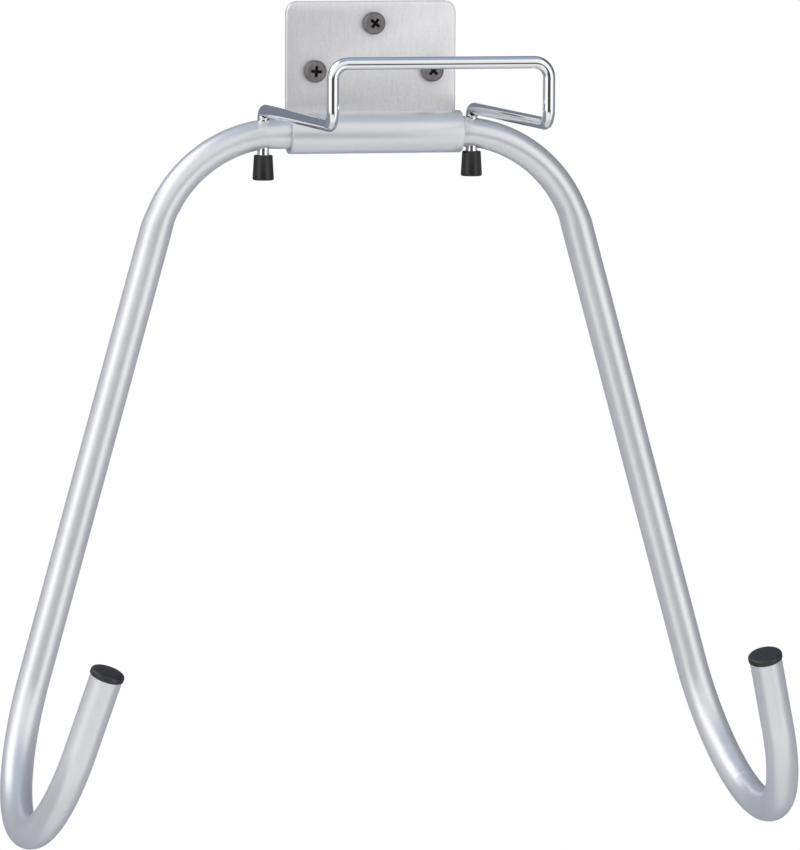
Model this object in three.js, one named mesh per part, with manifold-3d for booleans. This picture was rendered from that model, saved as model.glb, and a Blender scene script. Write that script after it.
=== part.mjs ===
// Bicycle wall rack: a wall plate with a pivot sleeve across its foot, two bent
// tubular arms that turn in the sleeve, and a chrome wire brace whose legs drop
// through both arms.
//
// Millimetres, +Z up. The origin is on the wall, at the back face of the plate.
// +Y points into the wall, so everything in the room has a negative Y. The arms
// are drawn hanging down, folded against the wall.

import * as THREE from 'three';
import { mergeVertices } from 'three/addons/utils/BufferGeometryUtils.js';
import Module from 'manifold-3d';

const wasm = await Module();
wasm.setup();

const X = new THREE.Vector3(1, 0, 0);
const Y = new THREE.Vector3(0, 1, 0);
const Z = new THREE.Vector3(0, 0, 1);
const QUARTER_TURN = Math.PI / 2;

const radians = THREE.MathUtils.degToRad;

// ---- driving dimensions ----

const GAP = 0.3; // running or fitting clearance between touching pieces

const sleeve = {
  radius: 12.7,
  bore: 9.525 + GAP,
  halfLength: 53,
  rounding: 1.2,
};

// The sleeve's back is flush with the plate's back, so its axis is one radius
// in front of the wall.
const AXIS_Y = -sleeve.radius;
const AXIS_Z = -44;

const plate = {
  width: 105,
  thickness: 4,
  top: AXIS_Z + 78.2,
  bottom: AXIS_Z + 9.8,
  cornerRadius: 7,
  edgeBevel: 0.6,
  holeRadius: 3.6,
};

const screw = {
  headRadius: 6.8,
  headHeight: 4.8,
  rimHeight: 1.6,
  crownRadius: 2.6,
  shankRadius: 3,
  shankLength: 42,
  pointLength: 7,
  recessSpan: 6.8,
  recessWidth: 1.5,
  recessDepth: 2.2,
  // x, z and how far the cross recess is turned
  places: {
    top: { x: 1.2, z: AXIS_Z + 64.9, turn: 38 },
    left: { x: -35, z: AXIS_Z + 36.3, turn: 4 },
    right: { x: 37.4, z: AXIS_Z + 36.3, turn: 45 },
  },
};

const weld = { length: 99, leg: 3.2, bulge: 0.5 };

const arm = {
  radius: 9.525,
  bore: 7.875,
  // The pair sits pushed over in the sleeve until the right bend meets its end.
  shift: -3.8,
  innerEnd: 9.5,
  bendStart: 54.5,
  bendRadius: 78.7,
  splay: 15.5,
  straight: { left: 276.7, right: 275.4 },
  hookRadius: 82,
  hookTurn: 164.2,
  returnLength: { left: 48.5, right: 46.1 },
};

const plug = {
  capRadius: 10.15,
  rimHeight: 2.2,
  edgeRounding: 1.6,
  domeHeight: 0.4,
  spigotRadius: 7.475,
  spigotLength: 14,
};

const brace = {
  radius: 3.57,
  middle: -4.1,
  legSpacing: 128.7,
  legEnd: -23.9,
  shoulderHeight: 13.8,
  shoulderRadius: 6,
  reach: 172,
  riser: 36.1,
  cornerRadius: 9,
  holeRadius: 4.4,
};

const tip = {
  topRadius: 5.6,
  bottomRadius: 6.5,
  bottomBevel: 1.2,
  length: 15.1,
  bore: brace.radius + GAP,
  boreDepth: 12.7,
  // height of each tip's upper end, from the sleeve's axis
  top: { left: -13, right: -11.9 },
};

const SIDES = { left: -1, right: 1 };

const finish = {
  armPaint: { color: 0xc2c4ca, roughness: 0.34, metalness: 0.75 },
  platePaint: { color: 0xd2d2d6, roughness: 0.48, metalness: 0.6 },
  screwSteel: { color: 0x6c6668, roughness: 0.42, metalness: 0.85 },
  chrome: { color: 0xe8eaee, roughness: 0.06, metalness: 1 },
  plugPlastic: { color: 0x131315, roughness: 0.3, metalness: 0 },
  tipRubber: { color: 0x3a383b, roughness: 0.75, metalness: 0 },
};

// ---- shape helpers ----

// A centre line drawn as a pen would: straight runs and round bends, one after
// another. Stations are kept only where the line turns, so straight runs are cheap.
class Route {
  constructor(start, heading) {
    this.point = start.clone();
    this.heading = heading.clone().normalize();
    this.stations = [];
    this.mark();
  }

  mark() {
    this.stations.push({ point: this.point.clone(), heading: this.heading.clone() });
  }

  straight(length) {
    this.point.addScaledVector(this.heading, length);
    this.mark();
    return this;
  }

  bend(towards, radius, degrees, steps) {
    const start = this.point.clone();
    const from = this.heading.clone();
    for (let i = 1; i <= steps; i += 1) {
      const angle = (radians(degrees) * i) / steps;
      this.point.copy(start);
      this.point.addScaledVector(from, radius * Math.sin(angle));
      this.point.addScaledVector(towards, radius * (1 - Math.cos(angle)));
      this.heading.copy(from).multiplyScalar(Math.cos(angle));
      this.heading.addScaledVector(towards, Math.sin(angle));
      this.mark();
    }
    return this;
  }
}

// The curve that a Route gives to ExtrudeGeometry, with one step for each station.
class StationCurve extends THREE.Curve {
  constructor(stations) {
    super();
    this.stations = stations;
  }

  getUtoTmapping(u) {
    return u;
  }

  at(t) {
    return this.stations[Math.round(t * (this.stations.length - 1))];
  }

  getPoint(t, target = new THREE.Vector3()) {
    return target.copy(this.at(t).point);
  }

  getTangent(t, target = new THREE.Vector3()) {
    return target.copy(this.at(t).heading);
  }
}

// A round bar along a route, or a tube when it has a bore.
function sweep(route, radius, bore, arcSteps) {
  const section = new THREE.Shape().absarc(0, 0, radius, 0, 2 * Math.PI, false);
  if (bore > 0) {
    section.holes.push(new THREE.Path().absarc(0, 0, bore, 0, 2 * Math.PI, true));
  }
  return new THREE.ExtrudeGeometry(section, {
    steps: route.stations.length - 1,
    curveSegments: arcSteps,
    extrudePath: new StationCurve(route.stations),
    bevelEnabled: false,
  });
}

// A turned solid from [radius, height] pairs, with its axis along Y.
function turned(profile, segments) {
  const points = profile.map(([radius, height]) => new THREE.Vector2(radius, height));
  return new THREE.LatheGeometry(points, segments);
}

// Points on a quarter ellipse, from the outer wall over to the crown.
function crown(radius, height, across, up, steps) {
  return Array.from({ length: steps + 1 }, (_, i) => {
    const angle = (QUARTER_TURN * i) / steps;
    return [radius - across * (1 - Math.cos(angle)), height + up * Math.sin(angle)];
  });
}

function toSolid(geometry) {
  const bare = geometry.clone();
  bare.deleteAttribute('normal');
  bare.deleteAttribute('uv');
  const merged = mergeVertices(bare, 1e-4);
  return new wasm.Manifold(new wasm.Mesh({
    numProp: 3,
    vertProperties: new Float32Array(merged.attributes.position.array),
    triVerts: new Uint32Array(merged.index.array),
  }));
}

function toGeometry(solid) {
  const mesh = solid.getMesh();
  const geometry = new THREE.BufferGeometry();
  geometry.setAttribute('position', new THREE.BufferAttribute(mesh.vertProperties, 3));
  geometry.setIndex(new THREE.BufferAttribute(mesh.triVerts, 1));
  geometry.computeVertexNormals();
  return geometry;
}

function cut(body, cutters) {
  return toGeometry(cutters.reduce((rest, cutter) => rest.subtract(toSolid(cutter)), toSolid(body)));
}

const rack = new THREE.Group();
rack.name = 'bicycle_wall_rack';

function addPiece(name, geometry, look) {
  const piece = new THREE.Mesh(geometry, new THREE.MeshStandardMaterial(look));
  piece.name = name;
  rack.add(piece);
  return piece;
}

// ---- wall plate ----

function plateGeometry() {
  const { top, bottom, cornerRadius, thickness, edgeBevel, holeRadius } = plate;
  const half = plate.width / 2;
  const outline = new THREE.Shape();
  outline.moveTo(-half, bottom);
  outline.lineTo(half, bottom);
  outline.absarc(half - cornerRadius, top - cornerRadius, cornerRadius, 0, QUARTER_TURN);
  outline.absarc(-half + cornerRadius, top - cornerRadius, cornerRadius, QUARTER_TURN, Math.PI);
  outline.closePath();
  Object.values(screw.places).forEach(({ x, z }) => {
    outline.holes.push(new THREE.Path().absarc(x, z, holeRadius, 0, 2 * Math.PI, true));
  });
  const geometry = new THREE.ExtrudeGeometry(outline, {
    depth: thickness - 2 * edgeBevel,
    curveSegments: 8,
    bevelThickness: edgeBevel,
    bevelSize: edgeBevel,
    bevelOffset: -edgeBevel,
    bevelSegments: 1,
  });
  geometry.translate(0, 0, edgeBevel);
  geometry.rotateX(QUARTER_TURN);
  return geometry;
}

addPiece('wall_plate', plateGeometry(), finish.platePaint);

// ---- pivot sleeve ----

function sleeveGeometry() {
  const { radius, bore, halfLength, rounding } = sleeve;
  const upper = crown(radius, halfLength - rounding, rounding, rounding, 2);
  const lower = upper.map(([r, h]) => [r, -h]).reverse();
  const inner = [[bore, halfLength], [bore, -halfLength]];
  const geometry = turned([...lower, ...upper, ...inner, lower[0]], 36);
  geometry.rotateZ(QUARTER_TURN);
  geometry.translate(0, AXIS_Y, AXIS_Z);
  return geometry;
}

addPiece('pivot_sleeve', sleeveGeometry(), finish.armPaint);

// ---- fillet weld in the groove between the plate's face and the sleeve ----

function weldGeometry() {
  const seat = sleeve.radius + GAP;
  const back = -plate.thickness - GAP;
  const front = back - weld.leg;
  const onSleeve = (y) => Math.sqrt(seat ** 2 - (y - AXIS_Y) ** 2);
  const root = onSleeve(back);
  const toe = onSleeve(front);
  const section = new THREE.Shape();
  section.moveTo(front, toe);
  section.quadraticCurveTo((front + back) / 2, (root + toe) / 2 + weld.bulge, back, root);
  section.lineTo(back, toe + GAP);
  section.quadraticCurveTo((front + back) / 2 - GAP, toe + GAP, front, toe);
  const geometry = new THREE.ExtrudeGeometry(section, {
    depth: weld.length,
    curveSegments: 4,
    bevelEnabled: false,
  });
  // the section's own axes are the rack's Y and Z, and it is drawn out along X
  const standing = new THREE.Matrix4().makeBasis(Y, Z, X);
  geometry.applyMatrix4(standing);
  geometry.translate(-weld.length / 2, 0, AXIS_Z);
  return geometry;
}

addPiece('fillet_weld', weldGeometry(), finish.armPaint);

// ---- pan-head wall screws, with a cross recess ----

function screwGeometry(turn) {
  const { headRadius, headHeight, rimHeight, crownRadius, shankRadius } = screw;
  const { shankLength, pointLength, recessSpan, recessWidth, recessDepth } = screw;
  const body = turned([
    [0, -shankLength],
    [shankRadius, pointLength - shankLength],
    [shankRadius, 0],
    [headRadius, 0],
    ...crown(headRadius, rimHeight, crownRadius, headHeight - rimHeight, 4),
    [0, headHeight],
  ], 24);
  const slots = [0, QUARTER_TURN].map((angle) => {
    const slot = new THREE.BoxGeometry(recessSpan, 2 * recessDepth, recessWidth);
    slot.rotateY(angle + radians(turn));
    slot.translate(0, headHeight, 0);
    return slot;
  });
  return cut(body, slots);
}

Object.entries(screw.places).forEach(([place, { x, z, turn }]) => {
  const piece = addPiece(`wall_screw_${place}`, screwGeometry(turn), finish.screwSteel);
  piece.rotation.x = Math.PI;
  piece.position.set(x, -plate.thickness - GAP, z);
});

// ---- arms, each with a bend, a straight and a hook, and a plug in its end ----

function armRoute(side) {
  const outwards = SIDES[side];
  const start = new THREE.Vector3(arm.shift + outwards * arm.innerEnd, AXIS_Y, AXIS_Z);
  const down = Z.clone().negate();
  const intoRoom = Y.clone().negate();
  return new Route(start, X.clone().multiplyScalar(outwards))
    .straight(arm.bendStart - arm.innerEnd)
    .bend(down, arm.bendRadius, 90 - arm.splay, 10)
    .straight(arm.straight[side])
    .bend(intoRoom, arm.hookRadius, arm.hookTurn, 20)
    .straight(arm.returnLength[side]);
}

function legHole(side) {
  const hole = new THREE.CylinderGeometry(brace.holeRadius, brace.holeRadius, 4 * arm.radius, 24);
  hole.rotateX(QUARTER_TURN);
  hole.translate(brace.middle + (SIDES[side] * brace.legSpacing) / 2, AXIS_Y, AXIS_Z);
  return hole;
}

function plugGeometry() {
  const { capRadius, rimHeight, edgeRounding, domeHeight } = plug;
  const { spigotRadius, spigotLength } = plug;
  return turned([
    [0, -spigotLength],
    [spigotRadius, -spigotLength],
    [spigotRadius, GAP],
    [capRadius, GAP],
    ...crown(capRadius, rimHeight, edgeRounding, edgeRounding, 3),
    [0, rimHeight + edgeRounding + domeHeight],
  ], 24);
}

Object.keys(SIDES).forEach((side) => {
  const route = armRoute(side);
  const tube = sweep(route, arm.radius, arm.bore, 10);
  addPiece(`arm_${side}`, cut(tube, [legHole(side)]), finish.armPaint);
  const cap = addPiece(`end_plug_${side}`, plugGeometry(), finish.plugPlastic);
  cap.position.copy(route.point);
  cap.quaternion.setFromUnitVectors(Y, route.heading);
});

// ---- wire brace: up one leg, out over the arm, up, across and back again ----

function braceRoute() {
  const { legSpacing, legEnd, shoulderHeight, shoulderRadius, reach, riser, cornerRadius } = brace;
  const intoRoom = Y.clone().negate();
  const down = Z.clone().negate();
  const start = new THREE.Vector3(brace.middle - legSpacing / 2, AXIS_Y, AXIS_Z + legEnd);
  const leg = shoulderHeight - shoulderRadius - legEnd;
  const run = reach - shoulderRadius - cornerRadius;
  const rise = riser - 2 * cornerRadius;
  return new Route(start, Z)
    .straight(leg)
    .bend(intoRoom, shoulderRadius, 90, 6)
    .straight(run)
    .bend(Z, cornerRadius, 90, 6)
    .straight(rise)
    .bend(X, cornerRadius, 90, 6)
    .straight(legSpacing - 2 * cornerRadius)
    .bend(down, cornerRadius, 90, 6)
    .straight(rise)
    .bend(Y, cornerRadius, 90, 6)
    .straight(run)
    .bend(down, shoulderRadius, 90, 6)
    .straight(leg);
}

addPiece('brace_wire', sweep(braceRoute(), brace.radius, 0, 7), finish.chrome);

// ---- rubber tips pushed onto the wire's legs ----

function tipGeometry() {
  const { topRadius, bottomRadius, bottomBevel, length, bore, boreDepth } = tip;
  return turned([
    [0, -length],
    [bottomRadius - bottomBevel, -length],
    [bottomRadius, bottomBevel - length],
    [topRadius, 0],
    [bore, 0],
    [bore, -boreDepth],
    [0, -boreDepth],
  ], 24);
}

Object.entries(SIDES).forEach(([side, outwards]) => {
  const cap = addPiece(`wire_tip_${side}`, tipGeometry(), finish.tipRubber);
  cap.rotation.x = QUARTER_TURN;
  cap.position.set(brace.middle + (outwards * brace.legSpacing) / 2, AXIS_Y, AXIS_Z + tip.top[side]);
});

export default rack;
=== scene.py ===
import math

import bmesh
import bpy
from mathutils import Matrix, Vector


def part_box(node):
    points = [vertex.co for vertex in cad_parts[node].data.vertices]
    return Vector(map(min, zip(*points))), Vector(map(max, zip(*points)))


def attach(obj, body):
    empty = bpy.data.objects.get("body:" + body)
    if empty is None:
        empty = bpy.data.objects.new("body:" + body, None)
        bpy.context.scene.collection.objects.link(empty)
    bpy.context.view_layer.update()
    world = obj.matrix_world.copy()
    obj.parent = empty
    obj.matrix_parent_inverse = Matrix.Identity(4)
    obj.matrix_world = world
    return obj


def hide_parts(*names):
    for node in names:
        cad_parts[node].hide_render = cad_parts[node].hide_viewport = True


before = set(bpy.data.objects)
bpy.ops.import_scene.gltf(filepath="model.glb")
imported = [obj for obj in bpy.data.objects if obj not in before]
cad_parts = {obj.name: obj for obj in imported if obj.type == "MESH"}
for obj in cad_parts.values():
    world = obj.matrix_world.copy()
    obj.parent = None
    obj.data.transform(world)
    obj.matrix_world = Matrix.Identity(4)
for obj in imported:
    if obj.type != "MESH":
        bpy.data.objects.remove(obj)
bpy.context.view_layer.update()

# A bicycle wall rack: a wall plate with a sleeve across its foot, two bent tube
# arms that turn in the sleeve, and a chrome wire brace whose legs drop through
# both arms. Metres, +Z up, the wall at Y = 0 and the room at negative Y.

MM = 0.001
X = Vector((1, 0, 0))
Y = Vector((0, 1, 0))
Z = Vector((0, 0, 1))
FULL_TURN = 2 * math.pi
SIDES = {"left": -1, "right": 1}

# ---- driving dimensions, where the frame's boxes don't already give them ----

sleeve_low, sleeve_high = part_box("pivot_sleeve")
AXIS = (sleeve_low + sleeve_high) / 2
SLEEVE_RADIUS = (sleeve_high.z - sleeve_low.z) / 2
SLEEVE_BORE = 9.825 * MM
SLEEVE_ROUNDING = 0.6 * MM

plate_low, plate_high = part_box("wall_plate")
PLATE_CORNER = 7 * MM
PLATE_EDGE = 1.2 * MM
PLATE_HOLE = 3.6 * MM
PLATE_DRILL = 30 * MM
PLATE_FACE = plate_low.y

WELD_RADIUS = 1.7 * MM
WELD_RIPPLE = 1.9 * MM
WELD_RIPPLE_RINGS = 4
WELD_FORWARD = 1.3 * MM
WELD_ABOVE_AXIS = 10.7 * MM

SCREW_HEAD = 6.8 * MM
SCREW_HEIGHT = 4.8 * MM
SCREW_CROWN = 2.2 * MM
SCREW_SEAT = PLATE_FACE - 0.3 * MM
SCREW_SHANK = 3 * MM
SCREW_LENGTH = 42 * MM
SCREW_POINT = 7 * MM
SCREW_PLAIN = 5 * MM
THREAD_PITCH = 2.4 * MM
THREAD_DEPTH = 0.75 * MM
THREAD_RINGS = 8
THREAD_FLANK = 0.3
POINT_CURVE = 0.8
RECESS_SPAN = 7.2 * MM
RECESS_WIDTH = 1.9 * MM
RECESS_DEPTH = 3.2 * MM
RECESS_SUNK = 0.35
RECESS_TAPER = (0.6, 1, 0.8)
SCREW_TURNS = {"top": 38, "left": 4, "right": 45}

ARM_RADIUS = 9.525 * MM
ARM_WALL = 1.65 * MM
ARM_SHIFT = -3.8 * MM
ARM_INNER_END = 9.5 * MM
BEND_START = 54.5 * MM
BEND_RADIUS = 78.7 * MM
BEND_TURN = 74.5
BEND_SQUEEZE = 0.93
BEND_WIDEN = 1.02
BEND_EASE = 12 * MM
ARM_STRAIGHT = {"left": 276.7 * MM, "right": 275.4 * MM}
HOOK_RADIUS = 82 * MM
HOOK_TURN = 164.2
# puckers left by the bender: place on the bend, height and width
BEND_CRIMPS = {"left": [(17.5 * MM, 0.3 * MM, 1.8 * MM)], "right": []}
HOOK_CRIMPS = {
    "left": [],
    "right": [(46.5, 0.2 * MM, 1.6 * MM), (65, 0.24 * MM, 1.8 * MM), (82, 0.12 * MM, 1.8 * MM)],
}
CRIMP_SLANT = 1.2
CRIMP_TROUGH = 0.8
CRIMP_TROUGH_PLACE = 1.7
CRIMP_NARROWING = 5
HOOK_RETURN = {"left": 48.5 * MM, "right": 46.1 * MM}

PLUG_RADIUS = 10.15 * MM
PLUG_HEIGHT = 4.2 * MM
PLUG_GAP = 0.3 * MM
PLUG_ROUNDING = 1.6 * MM
PLUG_SPIGOT = 7.475 * MM
PLUG_SPIGOT_LENGTH = 14 * MM

WIRE_RADIUS = 3.57 * MM
BRACE_MIDDLE = ARM_SHIFT - 0.3 * MM
LEG_SPACING = 128.7 * MM
LEG_END = -23.9 * MM
LEG_HOLE = 4.4 * MM
LEG_DRILL = 60 * MM
SHOULDER_HEIGHT = 13.8 * MM
SHOULDER_RADIUS = 6 * MM
BRACE_REACH = 172 * MM
BRACE_RISER = 36.1 * MM
BRACE_CORNER = 9 * MM

TIP_TOP = 5.6 * MM
TIP_BOTTOM = 6.5 * MM
TIP_LENGTH = 15.1 * MM
TIP_ROUNDING = 1.2 * MM
TIP_BORE = WIRE_RADIUS + 0.3 * MM
TIP_BORE_DEPTH = 12.7 * MM

CREASE = math.radians(38)

# ---- camera: well back, a little to the left and above ----

CAMERA_AZIMUTH = math.radians(-14.5)
CAMERA_ELEVATION = math.radians(5.66)
CAMERA_ROLL = math.radians(0.27)
CAMERA_DISTANCE = 4.386
CAMERA_LENS = 310.05
CAMERA_SIDESTEP = 19.0 * MM
CAMERA_DROP = -175.48 * MM


def place_camera():
    cos_e = math.cos(CAMERA_ELEVATION)
    back = Vector((
        math.sin(CAMERA_AZIMUTH) * cos_e,
        -math.cos(CAMERA_AZIMUTH) * cos_e,
        math.sin(CAMERA_ELEVATION),
    ))
    level = Vector((math.cos(CAMERA_AZIMUTH), math.sin(CAMERA_AZIMUTH), 0))
    plumb = back.cross(level)
    right = level * math.cos(CAMERA_ROLL) + plumb * math.sin(CAMERA_ROLL)
    up = plumb * math.cos(CAMERA_ROLL) - level * math.sin(CAMERA_ROLL)
    aim = AXIS + X * ARM_SHIFT
    data = bpy.data.cameras.new("camera")
    data.lens = CAMERA_LENS
    data.clip_end = 20
    camera = bpy.data.objects.new("camera", data)
    camera.rotation_mode = "QUATERNION"
    camera.rotation_quaternion = Matrix((right, up, back)).transposed().to_quaternion()
    camera.location = aim + back * CAMERA_DISTANCE + right * CAMERA_SIDESTEP + up * CAMERA_DROP
    bpy.context.scene.collection.objects.link(camera)
    bpy.context.scene.camera = camera


place_camera()

def screw_middle(place):
    low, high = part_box(f"wall_screw_{place}")
    return Vector(((low.x + high.x) / 2, SCREW_SEAT, (low.z + high.z) / 2))


# ---- shader helpers ----


class Wire:
    """A number carried by a node's output, on which Python's operators add Math nodes."""

    def __init__(self, board, socket):
        self.board = board
        self.socket = socket

    def _math(self, operation, *values):
        sockets = dict(enumerate(values))
        return self.board.add("ShaderNodeMath", {"operation": operation}, sockets)

    def __add__(self, other):
        return self._math("ADD", self, other)

    __radd__ = __add__

    def __sub__(self, other):
        return self._math("SUBTRACT", self, other)

    def __rsub__(self, other):
        return self._math("SUBTRACT", other, self)

    def __mul__(self, other):
        return self._math("MULTIPLY", self, other)

    __rmul__ = __mul__

    def __truediv__(self, other):
        return self._math("DIVIDE", self, other)

    def __rtruediv__(self, other):
        return self._math("DIVIDE", other, self)

    def __pow__(self, other):
        return self._math("POWER", self, other)


class Board:
    """The node tree of one finish, or of the studio."""

    def __init__(self, tree):
        self.tree = tree
        tree.nodes.clear()

    def add(self, kind, settings=None, sockets=None, output=0):
        node = self.tree.nodes.new(kind)
        for name, value in (settings or {}).items():
            setattr(node, name, value)
        for key, value in (sockets or {}).items():
            if isinstance(value, Wire):
                self.tree.links.new(value.socket, node.inputs[key])
            else:
                node.inputs[key].default_value = value
        return Wire(self, node.outputs[output]) if node.outputs else None

    def place(self):
        return self.add("ShaderNodeTexCoord", output="Object")

    def noise(self, scale, detail=2.0, roughness=0.5, stretch=(1, 1, 1)):
        """Noise from 0 to 1, with lumps of about one over scale, in metres."""
        where = self.add("ShaderNodeMapping", None, {"Vector": self.place(), "Scale": stretch})
        sockets = {"Vector": where, "Scale": scale, "Detail": detail, "Roughness": roughness}
        return self.add("ShaderNodeTexNoise", None, sockets)

    def band(self, value, start, end):
        """0 before start and 1 after end, turning smoothly between them."""
        settings = {"interpolation_type": "SMOOTHSTEP"}
        sockets = {"Value": value, "From Min": start, "From Max": end}
        return self.add("ShaderNodeMapRange", settings, sockets)

    def blend(self, share, first, second):
        """A colour, first where share is 0 and second where it is 1."""
        settings = {"data_type": "RGBA"}
        sockets = {0: share, 6: first, 7: second}
        return self.add("ShaderNodeMix", settings, sockets, output=2)

    def core(self, centre, radius):
        """1 inside a cylinder of this radius along Y through centre, 0 outside it."""
        across, up = (
            self.add("ShaderNodeSeparateXYZ", None, {0: self.place()}, axis) for axis in "XZ"
        )
        away = ((across - centre.x) ** 2 + (up - centre.z) ** 2) ** 0.5
        return 1 - self.band(away, radius - 0.2 * MM, radius)

    def bump(self, height, depth, strength=1.0):
        sockets = {"Height": height, "Distance": depth, "Strength": strength}
        return self.add("ShaderNodeBump", None, sockets)


def colour(red, green, blue):
    return (red, green, blue, 1.0)


def finish(name, build):
    """A material whose Principled sockets are what build returns for its board."""
    material = bpy.data.materials.new(name)
    material.use_nodes = True
    board = Board(material.node_tree)
    surface = board.add("ShaderNodeBsdfPrincipled", None, build(board))
    board.add("ShaderNodeOutputMaterial", None, {"Surface": surface})
    return material


# ---- finishes ----


def silver_paint(board):
    """Metallic silver lacquer: fine flake, a little orange peel, slow changes of tone."""
    flake = board.noise(2600, detail=1)
    cloud = board.noise(22, detail=3)
    peel = board.noise(420, detail=2)
    tone = board.band(flake * 0.5 + cloud * 0.5, 0.3, 0.7)
    return {
        "Base Color": board.blend(tone, colour(0.73, 0.74, 0.765), colour(0.81, 0.815, 0.835)),
        "Metallic": 0.55,
        "Roughness": 0.27 + 0.08 * flake + 0.05 * cloud,
        "Coat Weight": 0.12,
        "Coat Roughness": 0.12,
        "Normal": board.bump(peel + flake * 0.25, 0.00004),
    }


def plate_paint(board):
    """The same silver sprayed on flat stock, where it dries drier, paler and more pebbled."""
    pebble = board.noise(520, detail=3, roughness=0.6)
    brushing = board.noise(130, detail=3, stretch=(6, 1, 1))
    cloud = board.noise(16, detail=2)
    tone = board.band(pebble * 0.4 + brushing * 0.35 + cloud * 0.25, 0.3, 0.7)
    return {
        "Base Color": board.blend(tone, colour(0.79, 0.785, 0.795), colour(0.88, 0.875, 0.885)),
        "Metallic": 0.5,
        "Roughness": 0.27 + 0.12 * pebble,
        "Normal": board.bump(pebble + brushing * 0.5, 0.00008),
    }


def screw_zinc(board):
    """Dark zinc plating on the head, with painted shade that turns the driver recess near black;
    the same painted shade also darkens the shank.
    """
    grain = board.noise(1500, detail=2)
    stain = board.noise(260, detail=3)
    tone = board.band(stain * 0.7 + grain * 0.3, 0.3, 0.7)
    plating = board.blend(tone, colour(0.17, 0.158, 0.156), colour(0.27, 0.256, 0.255))
    depth = board.add("ShaderNodeSeparateXYZ", None, {0: board.place()}, "Y")
    top = SCREW_SEAT - SCREW_HEIGHT
    cores = [board.core(screw_middle(place), RECESS_SPAN / 2) for place in SCREW_TURNS]
    # painted shade: colour goes near black inside the driver recess and along the whole shank,
    # deeper than the head's top
    painted_recess_shade = sum(cores) * board.band(depth, top + 0.1 * MM, top + 0.5 * MM)
    return {
        "Base Color": board.blend(painted_recess_shade, plating, colour(0.008, 0.007, 0.007)),
        "Metallic": 0.7 * (1 - painted_recess_shade),
        "Roughness": 0.4 + 0.2 * stain + 0.3 * painted_recess_shade,
        "Normal": board.bump(grain, 0.00004),
    }


def bright_chrome(board):
    """Chrome plate over drawn wire, with faint draw lines and a trace of haze."""
    haze = board.noise(60, detail=3)
    draw = board.noise(900, detail=1)
    return {
        "Base Color": board.blend(haze, colour(0.88, 0.89, 0.91), colour(0.93, 0.94, 0.95)),
        "Metallic": 1.0,
        "Roughness": 0.03 + 0.05 * haze,
        "Normal": board.bump(draw, 0.000004),
    }


def plug_plastic(board):
    """Moulded black plastic, semi-gloss, with a fine spark-eroded grain."""
    grain = board.noise(1800, detail=2)
    cloud = board.noise(90, detail=2)
    return {
        "Base Color": board.blend(cloud, colour(0.021, 0.02, 0.024), colour(0.031, 0.03, 0.036)),
        "Metallic": 0.0,
        "Roughness": 0.26 + 0.14 * grain,
        "Normal": board.bump(grain, 0.00002),
    }


def tip_rubber(board):
    """Charcoal rubber with a slight bloom."""
    bloom = board.noise(240, detail=3)
    grain = board.noise(1600, detail=2)
    return {
        "Base Color": board.blend(bloom, colour(0.01, 0.009, 0.01), colour(0.016, 0.015, 0.016)),
        "Metallic": 0.0,
        "Roughness": 0.26 + 0.1 * bloom,
        "Normal": board.bump(grain, 0.00003),
    }


def floor_paint(board):
    """Pale matt floor."""
    cloud = board.noise(3, detail=2)
    return {
        "Base Color": board.blend(cloud, colour(0.86, 0.86, 0.86), colour(0.9, 0.9, 0.9)),
        "Roughness": 0.9,
        "Emission Color": colour(1, 1, 1),
        "Emission Strength": 0.3,
    }


ARM_PAINT = finish("silver_paint", silver_paint)
PLATE_PAINT = finish("plate_paint", plate_paint)
SCREW_STEEL = finish("screw_zinc", screw_zinc)
CHROME = finish("bright_chrome", bright_chrome)
PLUG_PLASTIC = finish("plug_plastic", plug_plastic)
TIP_RUBBER = finish("tip_rubber", tip_rubber)

# ---- shape helpers ----


def solid(bm, name):
    """The finished object of a bmesh, smooth but for its crisp corners."""
    mesh = bpy.data.meshes.new(name)
    bm.to_mesh(mesh)
    bm.free()
    mesh.shade_smooth()
    mesh.set_sharp_from_angle(angle=CREASE)
    piece = bpy.data.objects.new(name, mesh)
    bpy.context.scene.collection.objects.link(piece)
    return piece


def carve(piece, cutters):
    """Takes the cutters' shapes out of a piece."""
    for cutter in cutters:
        knife = piece.modifiers.new("carve", "BOOLEAN")
        knife.operation = "DIFFERENCE"
        knife.solver = "EXACT"
        knife.object = cutter
    bpy.context.view_layer.update()
    graph = bpy.context.evaluated_depsgraph_get()
    carved = bpy.data.meshes.new_from_object(piece.evaluated_get(graph))
    piece.modifiers.clear()
    piece.data = carved
    carved.name = piece.name
    carved.shade_smooth()
    carved.set_sharp_from_angle(angle=CREASE)
    for cutter in cutters:
        bpy.data.objects.remove(cutter)
    return piece


def fit(piece, node, body, material):
    """Gives a piece its finish and its place on the rack."""
    piece.data.materials.clear()
    piece.data.materials.append(material)
    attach(piece, body)
    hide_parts(node)
    return piece


def turned(profile, centre, axis, steps):
    """A turned solid: (radius, height, rounding) corners, spun about an axis through centre."""
    bm = bmesh.new()
    across = axis.orthogonal().normalized()
    corners = [bm.verts.new(centre + across * r + axis * h) for r, h, _ in profile]
    for first, second in zip(corners, corners[1:]):
        bm.edges.new((first, second))
    if profile[0][0] > 0:
        bm.edges.new((corners[-1], corners[0]))
    for corner, (_, _, rounding) in zip(corners, profile):
        if rounding:
            bmesh.ops.bevel(
                bm, geom=[corner], offset=rounding, segments=5, profile=0.5,
                affect="VERTICES", material=-1,
            )
    outline = bm.verts[:] + bm.edges[:]
    bmesh.ops.spin(
        bm, geom=outline, cent=centre, axis=axis, angle=FULL_TURN, steps=steps, use_merge=True,
    )
    bmesh.ops.remove_doubles(bm, verts=bm.verts, dist=0.002 * MM)
    bmesh.ops.recalc_face_normals(bm, faces=bm.faces)
    return bm


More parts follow.
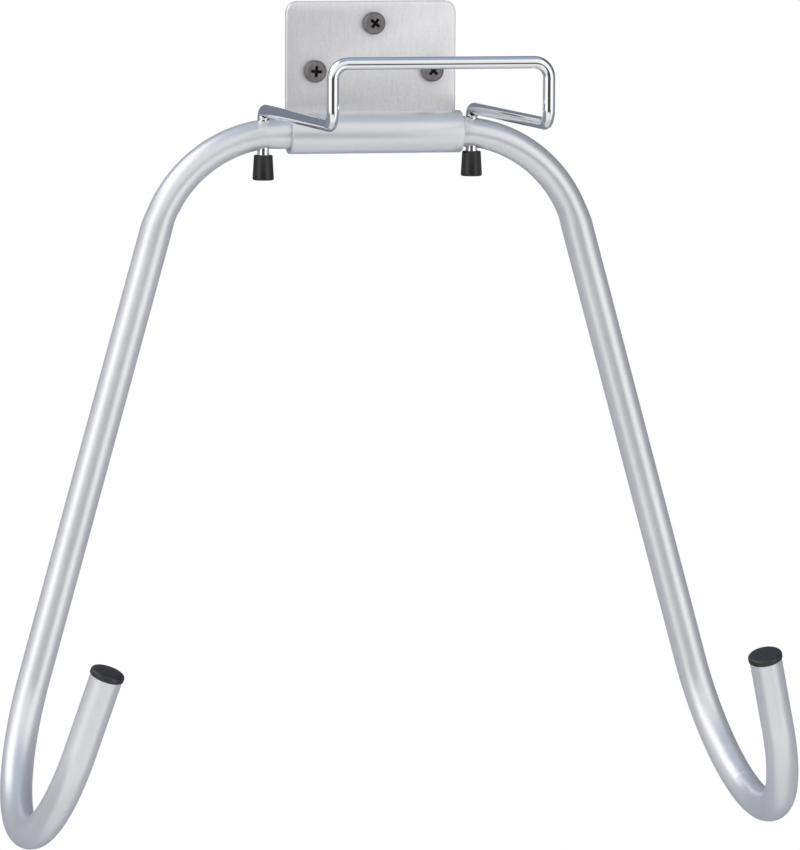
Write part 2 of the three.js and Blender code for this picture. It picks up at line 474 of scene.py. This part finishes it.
def drill(centre, axis, radius, length):
    """A round cutter for a hole through centre."""
    bm = bmesh.new()
    facing = axis.to_track_quat("Z", "Y").to_matrix().to_4x4()
    bmesh.ops.create_cone(
        bm, cap_ends=True, segments=40, radius1=radius, radius2=radius, depth=length,
        matrix=Matrix.Translation(centre) @ facing,
    )
    return solid(bm, "drill")


class Pen:
    """Draws a round bar or tube as a bender makes it, one ring after another."""

    def __init__(self, start, heading, radius, sides):
        self.bm = bmesh.new()
        self.point = start.copy()
        self.heading = heading.normalized()
        self.travel = 0.0
        self.rings = []
        facing = self.heading.to_track_quat("Z", "Y").to_matrix().to_4x4()
        bmesh.ops.create_circle(
            self.bm, cap_ends=False, radius=radius, segments=sides,
            matrix=Matrix.Translation(start) @ facing,
        )
        self.edge = self.bm.verts[:] + self.bm.edges[:]
        self._keep()

    def _keep(self):
        verts = [g for g in self.edge if isinstance(g, bmesh.types.BMVert)]
        self.rings.append((verts, self.point.copy(), self.travel))

    def _step(self, centre, axis, angle, slide):
        made = bmesh.ops.spin(
            self.bm, geom=self.edge, cent=centre, axis=axis, angle=angle, dvec=slide, steps=1,
        )
        self.edge = made["geom_last"]

    def straight(self, length, steps=1):
        for _ in range(steps):
            slide = self.heading * (length / steps)
            self._step(self.point, self.heading, 0, slide)
            self.point += slide
            self.travel += length / steps
            self._keep()
        return self

    def bend(self, towards, radius, degrees, steps):
        centre = self.point + towards * radius
        axis = self.heading.cross(towards)
        angle = math.radians(degrees) / steps
        turn = Matrix.Rotation(angle, 3, axis)
        for _ in range(steps):
            self._step(centre, axis, angle, Vector())
            self.point = centre + turn @ (self.point - centre)
            self.heading = turn @ self.heading
            self.travel += radius * angle
            self._keep()
        return self

    def shape(self, move):
        """Moves every vertex by what move gives for its ring's middle, travel and offset."""
        for verts, middle, travel in self.rings:
            for v in verts:
                v.co += move(middle, travel, v.co - middle)
        return self

    def tube(self, wall):
        bmesh.ops.recalc_face_normals(self.bm, faces=self.bm.faces)
        bmesh.ops.solidify(self.bm, geom=self.bm.faces[:], thickness=wall)
        return self.bm

    def bar(self):
        bmesh.ops.holes_fill(self.bm, edges=self.bm.edges, sides=0)
        bmesh.ops.recalc_face_normals(self.bm, faces=self.bm.faces)
        return self.bm


# ---- wall plate ----


def wall_plate():
    bm = bmesh.new()
    feet = [(plate_low.x, plate_low.z), (plate_high.x, plate_low.z)]
    shoulders = [(plate_high.x, plate_high.z), (plate_low.x, plate_high.z)]
    corners = [bm.verts.new((x, plate_high.y, z)) for x, z in feet + shoulders]
    bm.faces.new(corners)
    bmesh.ops.bevel(
        bm, geom=corners[2:], offset=PLATE_CORNER, segments=12, profile=0.5,
        affect="VERTICES", material=-1,
    )
    grown = bmesh.ops.extrude_face_region(bm, geom=bm.faces[:])["geom"]
    front = [g for g in grown if isinstance(g, bmesh.types.BMVert)]
    bmesh.ops.translate(bm, verts=front, vec=Y * (plate_low.y - plate_high.y))
    bmesh.ops.recalc_face_normals(bm, faces=bm.faces)
    rims = [e for e in bm.edges if len({round(v.co.y, 6) for v in e.verts}) == 1]
    bmesh.ops.bevel(
        bm, geom=rims, offset=PLATE_EDGE, segments=4, profile=0.5,
        affect="EDGES", material=-1,
    )
    plate = solid(bm, "wall_plate_sheet")
    holes = [drill(screw_middle(place), Y, PLATE_HOLE, PLATE_DRILL) for place in SCREW_TURNS]
    return carve(plate, holes)


fit(wall_plate(), "wall_plate", "wall_bracket", PLATE_PAINT)

# ---- pivot sleeve ----


def pivot_sleeve():
    half = sleeve_high.x
    return solid(turned([
        (SLEEVE_BORE, -half, 0.3 * MM),
        (SLEEVE_RADIUS, -half, SLEEVE_ROUNDING),
        (SLEEVE_RADIUS, half, SLEEVE_ROUNDING),
        (SLEEVE_BORE, half, 0.3 * MM),
    ], AXIS, X, 96), "sleeve_tube")


fit(pivot_sleeve(), "pivot_sleeve", "wall_bracket", ARM_PAINT)

# ---- weld bead in the groove between the plate's face and the sleeve ----


def weld_bead():
    low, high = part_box("fillet_weld")
    start = Vector((low.x, PLATE_FACE - WELD_FORWARD, AXIS.z + WELD_ABOVE_AXIS))
    length = high.x - low.x
    pen = Pen(start, X, WELD_RADIUS, 20)
    pen.straight(length, round(length / WELD_RIPPLE) * WELD_RIPPLE_RINGS)

    def ripple(_, travel, offset):
        scale = 0.9 + 0.1 * abs(math.sin(math.pi * travel / WELD_RIPPLE))
        ends = min(travel, length - travel) / WELD_RADIUS
        taper = math.sqrt(max(0.0, 1 - (1 - min(1.0, ends)) ** 2))
        return offset * (scale * max(0.15, taper) - 1)

    return solid(pen.shape(ripple).bar(), "weld_bead")


fit(weld_bead(), "fillet_weld", "wall_bracket", ARM_PAINT)

# ---- wall screws ----


def cross_recess(middle, turn):
    """Two tapered blades that cross, for the driver's recess."""
    blades = []
    for quarter in (0, 90):
        bm = bmesh.new()
        bmesh.ops.create_cube(bm, size=1)
        bmesh.ops.scale(bm, vec=(RECESS_SPAN, RECESS_DEPTH, RECESS_WIDTH), verts=bm.verts)
        deep = [v for v in bm.verts if v.co.y > 0]
        bmesh.ops.scale(bm, vec=RECESS_TAPER, verts=deep)
        turned_by = Matrix.Rotation(math.radians(turn + quarter), 3, "Y")
        bmesh.ops.rotate(bm, matrix=turned_by, verts=bm.verts)
        sunk = middle - Y * (SCREW_HEIGHT - RECESS_SUNK * RECESS_DEPTH)
        bmesh.ops.translate(bm, vec=sunk, verts=bm.verts)
        blades.append(solid(bm, "blade"))
    return blades


def cut_thread(bm, middle):
    """Raises a thread on the shank, running out at the point and under the head."""
    for v in bm.verts:
        depth = v.co.y - middle.y
        arm = Vector((v.co.x - middle.x, 0, v.co.z - middle.z))
        fade = min(1.0, (depth - SCREW_PLAIN) / THREAD_PITCH, (SCREW_LENGTH - depth) / SCREW_POINT)
        if fade <= 0:
            continue
        turn = math.atan2(arm.z, arm.x) / FULL_TURN
        phase = (depth / THREAD_PITCH + turn) % 1
        ridge = max(0.0, 1 - abs(phase - 0.5) / THREAD_FLANK)
        v.co += arm.normalized() * THREAD_DEPTH * ridge * fade


def wall_screw(place):
    middle = screw_middle(place)
    core = SCREW_SHANK - THREAD_DEPTH
    rings = round(SCREW_LENGTH / THREAD_PITCH * THREAD_RINGS)
    depths = [SCREW_LENGTH * (1 - i / rings) for i in range(1, rings)]
    shank = [
        (core * min(1.0, (SCREW_LENGTH - depth) / SCREW_POINT) ** POINT_CURVE, -depth, 0)
        for depth in depths if depth > SCREW_PLAIN
    ]
    bm = turned([
        (0, -SCREW_LENGTH, 0),
        *shank,
        (SCREW_SHANK, -SCREW_PLAIN, 0),
        (SCREW_SHANK, 0, 0.2 * MM),
        (SCREW_HEAD, 0, 0.25 * MM),
        (SCREW_HEAD, SCREW_HEIGHT, SCREW_CROWN),
        (0, SCREW_HEIGHT, 0),
    ], middle, -Y, 48)
    cut_thread(bm, middle)
    return carve(solid(bm, f"screw_{place}"), cross_recess(middle, SCREW_TURNS[place]))


for place in SCREW_TURNS:
    fit(wall_screw(place), f"wall_screw_{place}", "wall_bracket", SCREW_STEEL)

# ---- arms ----


def squeezed_bend(outwards, start, end):
    """The first bend's section, a little flat in the bend's own plane, as a bender leaves it."""
    centre = AXIS + X * (ARM_SHIFT + outwards * BEND_START) - Z * BEND_RADIUS

    def move(middle, travel, offset):
        share = min(1.0, (travel - start) / BEND_EASE, (end - travel) / BEND_EASE)
        if share <= 0:
            return Vector()
        share = share * share * (3 - 2 * share)
        radial = (middle - centre).normalized()
        across = radial * offset.dot(radial) * (BEND_SQUEEZE - 1)
        wide = Y * offset.y * (BEND_WIDEN - 1)
        return (across + wide) * share

    return move


def crimp(centre, place, height, width):
    """A small pucker on the inside of a bend, where the tube's wall was pushed together."""

    def move(middle, travel, offset):
        along = (travel - place) / width
        if abs(along) > 4:
            return Vector()
        inward = (centre - middle).normalized()
        facing = max(0.0, offset.normalized().dot(inward))
        along += CRIMP_SLANT * (1 - facing)
        crest = math.exp(-along * along)
        trough = CRIMP_TROUGH * math.exp(-(along - CRIMP_TROUGH_PLACE) ** 2)
        return inward * height * (crest - trough) * facing ** CRIMP_NARROWING

    return move


def arm_tube(side):
    outwards = SIDES[side]
    start = AXIS + X * (ARM_SHIFT + outwards * ARM_INNER_END)
    first_run = BEND_START - ARM_INNER_END
    pen = Pen(start, X * outwards, ARM_RADIUS, 64)
    pen.straight(first_run, 6)
    bend_centre = pen.point - Z * BEND_RADIUS
    pen.bend(-Z, BEND_RADIUS, BEND_TURN, 80)
    bend_end = pen.travel
    pen.straight(ARM_STRAIGHT[side], 30)
    hook_start = pen.travel
    hook_centre = pen.point - Y * HOOK_RADIUS
    pen.bend(-Y, HOOK_RADIUS, HOOK_TURN, 200)
    pen.straight(HOOK_RETURN[side], 6)
    pen.shape(squeezed_bend(outwards, first_run, bend_end))
    for before_end, height, width in BEND_CRIMPS[side]:
        pen.shape(crimp(bend_centre, bend_end - before_end, height, width))
    for degrees, height, width in HOOK_CRIMPS[side]:
        place = hook_start + math.radians(degrees) * HOOK_RADIUS
        pen.shape(crimp(hook_centre, place, height, width))
    end, heading = pen.point.copy(), pen.heading.copy()
    arm = solid(pen.tube(ARM_WALL), f"arm_tube_{side}")
    leg = AXIS + X * (BRACE_MIDDLE + outwards * LEG_SPACING / 2)
    return carve(arm, [drill(leg, Z, LEG_HOLE, LEG_DRILL)]), end, heading


def end_plug(side, end, heading):
    return solid(turned([
        (0, -PLUG_SPIGOT_LENGTH, 0),
        (PLUG_SPIGOT, -PLUG_SPIGOT_LENGTH, 0.8 * MM),
        (PLUG_SPIGOT, PLUG_GAP, 0),
        (PLUG_RADIUS, PLUG_GAP, 0.35 * MM),
        (PLUG_RADIUS, PLUG_HEIGHT - 0.4 * MM, PLUG_ROUNDING),
        (PLUG_RADIUS * 0.55, PLUG_HEIGHT, 1.2 * MM),
        (0, PLUG_HEIGHT, 0),
    ], end, heading, 72), f"plug_cap_{side}")


for side in SIDES:
    arm, end, heading = arm_tube(side)
    body = f"{side}_arm"
    fit(arm, f"arm_{side}", body, ARM_PAINT)
    fit(end_plug(side, end, heading), f"end_plug_{side}", body, PLUG_PLASTIC)

# ---- wire brace and its rubber tips ----


def brace_wire():
    start = AXIS + X * (BRACE_MIDDLE - LEG_SPACING / 2) + Z * LEG_END
    leg = SHOULDER_HEIGHT - SHOULDER_RADIUS - LEG_END
    run = BRACE_REACH - SHOULDER_RADIUS - BRACE_CORNER
    rise = BRACE_RISER - 2 * BRACE_CORNER
    pen = Pen(start, Z, WIRE_RADIUS, 40)
    pen.straight(leg).bend(-Y, SHOULDER_RADIUS, 90, 16).straight(run)
    pen.bend(Z, BRACE_CORNER, 90, 16).straight(rise).bend(X, BRACE_CORNER, 90, 16)
    pen.straight(LEG_SPACING - 2 * BRACE_CORNER)
    pen.bend(-Z, BRACE_CORNER, 90, 16).straight(rise).bend(Y, BRACE_CORNER, 90, 16)
    pen.straight(run).bend(-Z, SHOULDER_RADIUS, 90, 16).straight(leg)
    return solid(pen.bar(), "brace_rod")


def wire_tip(side):
    low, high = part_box(f"wire_tip_{side}")
    top = Vector(((low.x + high.x) / 2, (low.y + high.y) / 2, high.z))
    return solid(turned([
        (0, TIP_LENGTH, 0),
        (TIP_BOTTOM, TIP_LENGTH, TIP_ROUNDING),
        (TIP_TOP, 0, 0.5 * MM),
        (TIP_BORE, 0, 0.3 * MM),
        (TIP_BORE, TIP_BORE_DEPTH, 0),
        (0, TIP_BORE_DEPTH, 0),
    ], top, -Z, 56), f"rubber_tip_{side}")


fit(brace_wire(), "brace_wire", "brace", CHROME)
for side in SIDES:
    fit(wire_tip(side), f"wire_tip_{side}", "brace", TIP_RUBBER)

# ---- floor and studio ----

FLOOR_HEIGHT = -0.68
FLOOR_REACH = 1.2
FLOOR_MIDDLE = -0.4

# soft boxes and dim cards round the rack: bearing, half width, lowest and highest, softness
# (all in degrees), then colour; a later one covers an earlier one
CARDS = {
    "low_left_shade": (-112, 42, -55, -4, 9, colour(0.26, 0.27, 0.3)),
    "high_right_shade": (118, 42, 4, 52, 9, colour(0.13, 0.14, 0.17)),
    "camera": (-12, 25, -20, 4, 5, colour(0.07, 0.065, 0.062)),
    "tripod": (14, 7, -32, -8, 3, colour(0.1, 0.1, 0.1)),
    "left_box": (-66, 16, -8, 62, 9, colour(1.75, 1.73, 1.7)),
    "high_left_box": (-112, 30, 30, 66, 9, colour(1.9, 1.92, 1.98)),
    "right_box": (38, 14, -26, 42, 8, colour(1.35, 1.35, 1.34)),
}


def floor():
    bm = bmesh.new()
    middle = Matrix.Translation((0, FLOOR_MIDDLE, FLOOR_HEIGHT))
    bmesh.ops.create_grid(bm, x_segments=1, y_segments=1, size=FLOOR_REACH, matrix=middle)
    sheet = solid(bm, "floor")
    sheet.data.materials.append(finish("floor_paint", floor_paint))
    sheet.visible_glossy = False


def studio():
    """A white room with three soft boxes, dim cards and a cool ceiling."""
    scene = bpy.context.scene
    scene.view_settings.view_transform = "Standard"
    scene.world = bpy.data.worlds.new("studio")
    scene.world.use_nodes = True
    board = Board(scene.world.node_tree)
    direction = board.add("ShaderNodeTexCoord", output="Generated")
    x, y, z = (board.add("ShaderNodeSeparateXYZ", None, {0: direction}, axis) for axis in "XYZ")
    degrees = 180 / math.pi
    bearing = board.add("ShaderNodeMath", {"operation": "ARCTAN2"}, {0: x, 1: 0 - y}) * degrees
    height = board.add("ShaderNodeMath", {"operation": "ARCSINE"}, {0: z}) * degrees

    def panel(middle, half_width, low, high, soft):
        side = board.add("ShaderNodeMath", {"operation": "ABSOLUTE"}, {0: bearing - middle})
        across = 1 - board.band(side, half_width - soft, half_width + soft)
        up = board.band(height, low - soft, low + soft)
        down = 1 - board.band(height, high - soft, high + soft)
        return across * up * down

    side = board.add("ShaderNodeMath", {"operation": "ABSOLUTE"}, {0: bearing})
    room = board.blend(board.band(bearing, 52, 82), colour(0.9, 0.9, 0.9), colour(0.27, 0.28, 0.31))
    room = board.blend(board.band(0 - bearing, 82, 118), room, colour(0.46, 0.46, 0.48))
    room = board.blend(board.band(side, 128, 160), room, colour(0.2, 0.22, 0.27))
    room = board.blend(board.band(height, 46, 62), room, colour(0.36, 0.43, 0.56))
    room = board.blend(board.band(0 - height, 48, 74), room, colour(0.66, 0.66, 0.66))
    for *place, glow in CARDS.values():
        room = board.blend(panel(*place), room, glow)
    seen = board.add("ShaderNodeLightPath", output="Is Camera Ray")
    room = board.blend(seen, room, colour(1, 1, 1))
    backdrop = board.add("ShaderNodeBackground", None, {"Color": room, "Strength": 1.0})
    board.add("ShaderNodeOutputWorld", None, {"Surface": backdrop})


floor()
studio()
